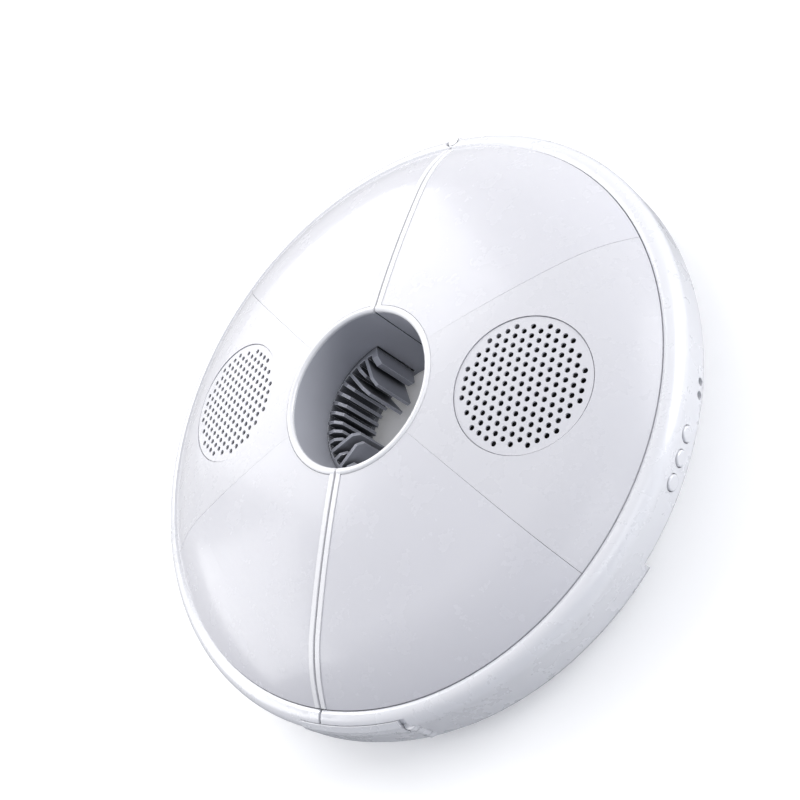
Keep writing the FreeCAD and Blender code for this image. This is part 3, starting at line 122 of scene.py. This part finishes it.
def rounded_normal(tree, radius):
    """Normal with the edges rounded to a radius in metres."""
    node = tree.nodes.new("ShaderNodeBevel")
    node.samples = BEVEL_SAMPLES
    node.inputs["Radius"].default_value = radius
    return node.outputs["Normal"]


def edge_mask(tree, reach, low, high):
    """Mask that is 1 along sharp edges and 0 on flat faces, from rounded and true normals."""
    facing = dot_product(tree, rounded_normal(tree, reach))
    tree.links.new(tree.nodes.new("ShaderNodeNewGeometry").outputs["Normal"], facing.inputs[1])
    return map_range(tree, facing.outputs["Value"], high, low)


def add_bump(tree, shader, layers, edge=EDGE_RADIUS):
    """Edges rounded to a radius, or left sharp at 0, under bumps of (height, distance in metres)."""
    normal = rounded_normal(tree, edge) if edge else None
    for height, distance in layers:
        bump = tree.nodes.new("ShaderNodeBump")
        bump.inputs["Strength"].default_value = 1.0
        bump.inputs["Distance"].default_value = distance
        tree.links.new(height, bump.inputs["Height"])
        if normal:
            tree.links.new(normal, bump.inputs["Normal"])
        normal = bump.outputs["Normal"]
    tree.links.new(normal, shader.inputs["Normal"])


# ---------------------------------------------------------------- materials
# Scales are features per metre; bump distances, radii and reaches are in metres.

GRAIN_SCALE = 2600.0                     # fine grain of mould and paint
GLOSS_LOW, GLOSS_HIGH = 0.85, 1.15       # shares of a material's roughness
CLOUD_SCALE = 14.0                       # slow change of colour over a moulding
GLOSS_SCALE = 90.0
WAVE_SCALE = 26.0                        # sink marks
COAT_ROUGHNESS = 0.12
SINK_RADIUS = (0.004, 0.004, 0.0045)     # light scattered below the skin, for each colour

PAINT_CLOUD_SCALE = 60.0
PAINT_GLOSS_SCALE = 150.0
PAINT_DARKER = 0.94
PAINT_METALLIC = 0.15
PAINT_GRAIN = 1.2e-5
# painted shade: the lining's colour darkens in hollows by ambient occlusion
PAINTED_SHADE_SAMPLES = 6
PAINTED_SHADE_REACH = 0.006
PAINTED_SHADE_FULL, PAINTED_SHADE_NONE = 0.25, 0.75    # open share of the surroundings at which the painted shade in hollows is full and at which it ends
# painted highlight: the lining's sharp edges are made lighter
PAINTED_HIGHLIGHT_REACH = 0.0006
PAINTED_HIGHLIGHT_FULL, PAINTED_HIGHLIGHT_NONE = 0.80, 0.97          # rounded normal against the true one: painted highlight full, none

SCRATCH_SCALE = 900.0
SCRATCH_SQUEEZE = (1.0, 1.0, 9.0)
SCRATCH_DARKER = 0.86
SCRATCH_SPAN = (0.35, 0.65)
SCRATCH_GLOSS = (0.7, 1.3)
SCRATCH_DEPTH = 5e-6

TRACK_SCALE = 240.0
TRACK_SPAN = (0.05, 0.09)
TRACK_HEIGHT = 2e-5
TRACK_COLOUR, MASK_COLOUR = (0.62, 0.68, 0.58), (0.80, 0.82, 0.78)
MASK_GLOSS_SCALE = 400.0
MASK_ROUGHNESS = (0.32, 0.5)

PHOSPHOR_SCALE = 3000.0
PHOSPHOR_COLOURS = (0.82, 0.66, 0.18), (0.95, 0.86, 0.42)
PHOSPHOR_ROUGHNESS = 0.35
PHOSPHOR_GRAIN = 1e-5
CAP_COAT = 0.8

WRINKLE_SCALE = 600.0
WRINKLE_SQUEEZE = (1.0, 0.15, 1.0)
WRINKLE_HEIGHT = 4e-5
FILM_COLOURS = (0.03, 0.10, 0.28), (0.05, 0.15, 0.38)
FILM_ROUGHNESS = 0.3

DUST_SCALE = 700.0
RUBBER_COLOURS = (0.19, 0.20, 0.21), (0.27, 0.275, 0.285)
RUBBER_ROUGHNESS = (0.75, 0.92)
RUBBER_SPECULAR = 0.3
RUBBER_SKIN_SCALE = 4000.0
RUBBER_SKIN = 3e-5


def silver_paint(name, colour, painted_highlight_colour, painted_shade_colour, rough):
    """Silver-grey satin finish inside the pole hole, with painted highlights on sharp edges and painted
    shade darkening the hollows.
    """
    material, tree, shader, place = new_material(name)
    dark = tuple(c * PAINT_DARKER for c in colour)
    cloud = blotch(tree, noise(tree, place, PAINT_CLOUD_SCALE, detail=5.0, roughness=0.6), dark, colour)
    # painted shade: the colour turns dark where the surroundings close in
    open_sky = tree.nodes.new("ShaderNodeAmbientOcclusion")
    open_sky.samples = PAINTED_SHADE_SAMPLES
    open_sky.inputs["Distance"].default_value = PAINTED_SHADE_REACH
    depth = map_range(tree, open_sky.outputs["AO"], PAINTED_SHADE_FULL, PAINTED_SHADE_NONE)
    base = mix_colour(tree, depth, painted_shade_colour, cloud)
    # painted highlight: sharp edges turn to a lighter colour
    edges = edge_mask(tree, PAINTED_HIGHLIGHT_REACH, PAINTED_HIGHLIGHT_FULL, PAINTED_HIGHLIGHT_NONE)
    tree.links.new(mix_colour(tree, edges, base, painted_highlight_colour), shader.inputs["Base Color"])
    gloss = noise(tree, place, PAINT_GLOSS_SCALE, detail=5.0, roughness=0.6)
    tree.links.new(spread(tree, gloss, rough * GLOSS_LOW, rough * GLOSS_HIGH), shader.inputs["Roughness"])
    shader.inputs["Metallic"].default_value = PAINT_METALLIC
    add_bump(tree, shader, [(noise(tree, place, GRAIN_SCALE, detail=2.0), PAINT_GRAIN)])
    return material


def moulding(name, colour, rough, vary=0.03, metallic=0.0, coat=0.0, sink=0.0, wave=0.0, grain=8e-6,
             grain_scale=GRAIN_SCALE, edge=EDGE_RADIUS):
    """Moulded or painted plastic: cloudy colour, uneven gloss, sink waves and a fine grain."""
    material, tree, shader, place = new_material(name)
    dark = tuple(c * (1 - vary) for c in colour)
    light = tuple(min(1.0, c * (1 + vary)) for c in colour)
    cloud = noise(tree, place, CLOUD_SCALE, detail=1.0)
    tree.links.new(blotch(tree, cloud, dark, light), shader.inputs["Base Color"])
    gloss = noise(tree, place, GLOSS_SCALE, detail=5.0, roughness=0.6)
    tree.links.new(spread(tree, gloss, rough * GLOSS_LOW, rough * GLOSS_HIGH), shader.inputs["Roughness"])
    shader.inputs["Metallic"].default_value = metallic
    shader.inputs["Coat Weight"].default_value = coat
    shader.inputs["Coat Roughness"].default_value = COAT_ROUGHNESS
    shader.inputs["Subsurface Weight"].default_value = sink
    shader.inputs["Subsurface Radius"].default_value = SINK_RADIUS
    layers = [(noise(tree, place, grain_scale, detail=2.0), grain)]
    if wave:
        layers.append((noise(tree, place, WAVE_SCALE, detail=1.0), wave))
    add_bump(tree, shader, layers, edge)
    return material


def metal(name, colour, rough):
    """Plated metal with fine scratches along one direction."""
    material, tree, shader, place = new_material(name)
    squeezed = stretched(tree, place, SCRATCH_SQUEEZE)
    lines = noise(tree, squeezed, SCRATCH_SCALE, detail=6.0, roughness=0.7)
    dark = tuple(c * SCRATCH_DARKER for c in colour)
    tree.links.new(ramp(tree, lines, list(zip(SCRATCH_SPAN, (dark, colour)))), shader.inputs["Base Color"])
    low, high = SCRATCH_GLOSS
    tree.links.new(spread(tree, lines, rough * low, rough * high), shader.inputs["Roughness"])
    shader.inputs["Metallic"].default_value = 1.0
    add_bump(tree, shader, [(lines, SCRATCH_DEPTH)])
    return material


def circuit(name):
    """White solder mask with pale tracks under it."""
    material, tree, shader, place = new_material(name)
    cells = tree.nodes.new("ShaderNodeTexVoronoi")
    cells.feature = "DISTANCE_TO_EDGE"
    cells.distance = "CHEBYCHEV"
    cells.inputs["Scale"].default_value = TRACK_SCALE
    tree.links.new(place, cells.inputs["Vector"])
    tracks = cells.outputs["Distance"]
    stops = list(zip(TRACK_SPAN, (TRACK_COLOUR, MASK_COLOUR)))
    tree.links.new(ramp(tree, tracks, stops), shader.inputs["Base Color"])
    gloss = noise(tree, place, MASK_GLOSS_SCALE)
    tree.links.new(spread(tree, gloss, *MASK_ROUGHNESS), shader.inputs["Roughness"])
    add_bump(tree, shader, [(tracks, TRACK_HEIGHT)])
    return material


def diode(name):
    """Yellow phosphor under a clear cap."""
    material, tree, shader, place = new_material(name)
    specks = noise(tree, place, PHOSPHOR_SCALE)
    tree.links.new(blotch(tree, specks, *PHOSPHOR_COLOURS), shader.inputs["Base Color"])
    shader.inputs["Roughness"].default_value = PHOSPHOR_ROUGHNESS
    shader.inputs["Coat Weight"].default_value = CAP_COAT
    add_bump(tree, shader, [(specks, PHOSPHOR_GRAIN)])
    return material


def sleeve(name):
    """Shrink sleeve of a cell: plain blue film with slight wrinkles along it."""
    material, tree, shader, place = new_material(name)
    wrinkles = noise(tree, stretched(tree, place, WRINKLE_SQUEEZE), WRINKLE_SCALE, detail=4.0)
    tree.links.new(blotch(tree, wrinkles, *FILM_COLOURS), shader.inputs["Base Color"])
    shader.inputs["Roughness"].default_value = FILM_ROUGHNESS
    add_bump(tree, shader, [(wrinkles, WRINKLE_HEIGHT)])
    return material


def rubber(name):
    """Grey rubber: matt, speckled, with a fine rough skin."""
    material, tree, shader, place = new_material(name)
    dust = noise(tree, place, DUST_SCALE, detail=6.0, roughness=0.7)
    tree.links.new(blotch(tree, dust, *RUBBER_COLOURS), shader.inputs["Base Color"])
    tree.links.new(spread(tree, dust, *RUBBER_ROUGHNESS), shader.inputs["Roughness"])
    shader.inputs["Specular IOR Level"].default_value = RUBBER_SPECULAR
    add_bump(tree, shader, [(noise(tree, place, RUBBER_SKIN_SCALE, detail=2.0), RUBBER_SKIN)])
    return material


PANEL_WHITE = (0.60, 0.60, 0.632)
LENS_WHITE = (0.60, 0.60, 0.637)
TRIM_WHITE = (0.78, 0.78, 0.80)
RIM_SILVER = (0.72, 0.725, 0.755)
# lining colour, its painted highlight on sharp edges and its painted shade in hollows
LINING_GREY, LINING_PAINTED_HIGHLIGHT, LINING_PAINTED_SHADE = (0.46, 0.47, 0.515), (0.80, 0.82, 0.88), (0.05, 0.052, 0.06)
BLACK = (0.006, 0.006, 0.007)
CONE_BLACK = (0.012, 0.012, 0.014)
MAGNET_GREY = (0.42, 0.42, 0.43)
SCREW_GREY = (0.62, 0.62, 0.63)

MATERIALS = {
    "cover_gloss": moulding("cover_gloss", PANEL_WHITE, rough=0.28, vary=0.006, coat=0.2, sink=0.08,
                            wave=1e-5, grain=2e-6, edge=0),
    "lens": moulding("lens", LENS_WHITE, rough=0.26, vary=0.006, coat=0.25, sink=0.12, wave=1e-5,
                     grain=2e-6, edge=0),
    "white_trim": moulding("white_trim", TRIM_WHITE, rough=0.28, vary=0.01, coat=0.3),
    "rim_silver": moulding("rim_silver", RIM_SILVER, rough=0.28, vary=0.008, metallic=0.1, coat=0.3,
                           wave=1e-5, grain=3e-6),
    # grey lining, with painted shade in hollows and painted highlight on sharp edges
    "grey_plastic": silver_paint("grey_plastic", LINING_GREY, LINING_PAINTED_HIGHLIGHT, LINING_PAINTED_SHADE, rough=0.36),
    "black_plastic": moulding("black_plastic", BLACK, rough=0.6, vary=0.15, grain=2e-5),
    "cone": moulding("cone", CONE_BLACK, rough=0.8, vary=0.2, grain=6e-5, grain_scale=1800.0),
    "magnet": metal("magnet", MAGNET_GREY, rough=0.3),
    "screw": metal("screw", SCREW_GREY, rough=0.22),
    "board": circuit("board"),
    "led": diode("led"),
    "cell": sleeve("cell"),
    "rubber": rubber("rubber"),
    "button": moulding("button", RIM_SILVER, rough=0.28, vary=0.008, metallic=0.1, coat=0.3),
}

for entry in frame["record"]["subparts"]:
    node = nodes[entry["node"]]
    node.data.materials.clear()
    node.data.materials.append(MATERIALS[entry["material_slot"]])


# ---------------------------------------------------------------- camera, solved from the photo

CAMERA_AT = Vector((0.3190, -0.1534, 0.3744))
CAMERA_RIGHT = Vector((0.7685, 0.2110, -0.6040))
CAMERA_UP = Vector((0.0441, 0.9243, 0.3790))
CAMERA_BACK = Vector((0.6383, -0.3179, 0.7011))
FOCAL_LENGTH, SENSOR_WIDTH = 59.1, 36.0  # mm
CLIP_NEAR, CLIP_FAR = 0.01, 20.0


def make_camera():
    """Camera that sees the part as the photo does."""
    data = bpy.data.cameras.new("camera")
    data.lens = FOCAL_LENGTH
    data.sensor_width = SENSOR_WIDTH
    data.clip_start = CLIP_NEAR
    data.clip_end = CLIP_FAR
    camera = bpy.data.objects.new("camera", data)
    rotation = Matrix((CAMERA_RIGHT, CAMERA_UP, CAMERA_BACK)).transposed()
    camera.matrix_world = Matrix.Translation(CAMERA_AT) @ rotation.to_4x4()
    scene.collection.objects.link(camera)
    scene.camera = camera


# ---------------------------------------------------------------- light and floor

WORLD_BRIGHT_SIDE = (-0.78, 0.50, 0.38)
WORLD_STOPS = [                          # from the dark side to the bright one
    (0.15, (0.30, 0.33, 0.40)), (0.45, (0.50, 0.52, 0.57)), (0.75, (0.80, 0.80, 0.83)),
    (0.95, (1.0, 1.0, 1.0))]
WORLD_BELOW = (0.10, 0.11, 0.13)
WORLD_BELOW_FROM, WORLD_BELOW_TO = -0.55, -0.05  # heights between which it gives way to the stops
WORLD_STRENGTH = 0.9

FLOOR_HALF = 4.0
FLOOR_DROP = 0.0002                      # below the feet, so that no faces coincide
FLOOR_PAPER_SCALE = 5.0
FLOOR_COLOURS = (0.93, 0.93, 0.935), (0.95, 0.95, 0.95)
FLOOR_ROUGHNESS = 0.9
FLOOR_SPECULAR = 0.1
FLOOR_GLOW = 0.12                        # keeps the backdrop as white as the photo's

LIGHTS = {                               # place, aim height, size in metres, power in watts
    "key": ((-1.05, 0.62, 0.85), 0.02, 1.1, 11.8),
    "side": ((-1.15, -0.40, 0.65), 0.02, 0.8, 5.0),
    "fill": ((1.1, 0.75, 0.75), 0.02, 0.9, 4.0),
    "rim": ((1.20, 0.66, 0.36), 0.03, 0.8, 13.0),
    "front": ((0.72, -0.30, 0.95), 0.03, 0.5, 0.9),
}


def area_light(name, at, aim_height, size, power):
    """Square soft box that faces a point on the pole's axis."""
    data = bpy.data.lights.new(name, "AREA")
    data.shape = "SQUARE"
    data.size = size
    data.energy = power
    light = bpy.data.objects.new(name, data)
    light.location = at
    light.rotation_mode = "QUATERNION"
    light.rotation_quaternion = (Vector((0, 0, aim_height)) - Vector(at)).to_track_quat("-Z", "Y")
    scene.collection.objects.link(light)


def make_world():
    """Pale studio surround, brightest low behind the object's far side, bluish grey opposite."""
    world = bpy.data.worlds.new("studio")
    world.use_nodes = True
    tree = world.node_tree
    tree.nodes.clear()
    output = tree.nodes.new("ShaderNodeOutputWorld")
    background = tree.nodes.new("ShaderNodeBackground")
    tree.links.new(background.outputs["Background"], output.inputs["Surface"])
    place = tree.nodes.new("ShaderNodeTexCoord").outputs["Generated"]
    side = dot_product(tree, place)
    side.inputs[1].default_value = WORLD_BRIGHT_SIDE
    share = map_range(tree, side.outputs["Value"], -1.0, 1.0)
    colours = ramp(tree, share, WORLD_STOPS)
    height = tree.nodes.new("ShaderNodeSeparateXYZ")
    tree.links.new(place, height.inputs["Vector"])
    below = map_range(tree, height.outputs["Z"], WORLD_BELOW_FROM, WORLD_BELOW_TO)
    tree.links.new(mix_colour(tree, below, WORLD_BELOW, colours), background.inputs["Color"])
    background.inputs["Strength"].default_value = WORLD_STRENGTH
    scene.world = world


def make_floor():
    """Pale floor that runs past the view on all sides."""
    data = bpy.data.meshes.new("floor")
    corners = [(x * FLOOR_HALF, y * FLOOR_HALF, 0) for x, y in ((-1, -1), (1, -1), (1, 1), (-1, 1))]
    data.from_pydata(corners, [], [(0, 1, 2, 3)])
    floor = bpy.data.objects.new("floor", data)
    floor.location.z = -FLOOR_DROP
    floor.visible_glossy = False
    scene.collection.objects.link(floor)
    material, tree, shader, place = new_material("floor")
    paper = noise(tree, place, FLOOR_PAPER_SCALE)
    tree.links.new(blotch(tree, paper, *FLOOR_COLOURS), shader.inputs["Base Color"])
    shader.inputs["Roughness"].default_value = FLOOR_ROUGHNESS
    shader.inputs["Specular IOR Level"].default_value = FLOOR_SPECULAR
    shader.inputs["Emission Color"].default_value = (1.0, 1.0, 1.0, 1.0)
    shader.inputs["Emission Strength"].default_value = FLOOR_GLOW
    data.materials.append(material)


make_camera()
make_world()
make_floor()
for light_name, settings in LIGHTS.items():
    area_light(light_name, *settings)

scene.view_settings.view_transform = "Standard"
scene.view_settings.look = "None"
scene.view_settings.exposure = 0.0
scene.view_settings.gamma = 1.0
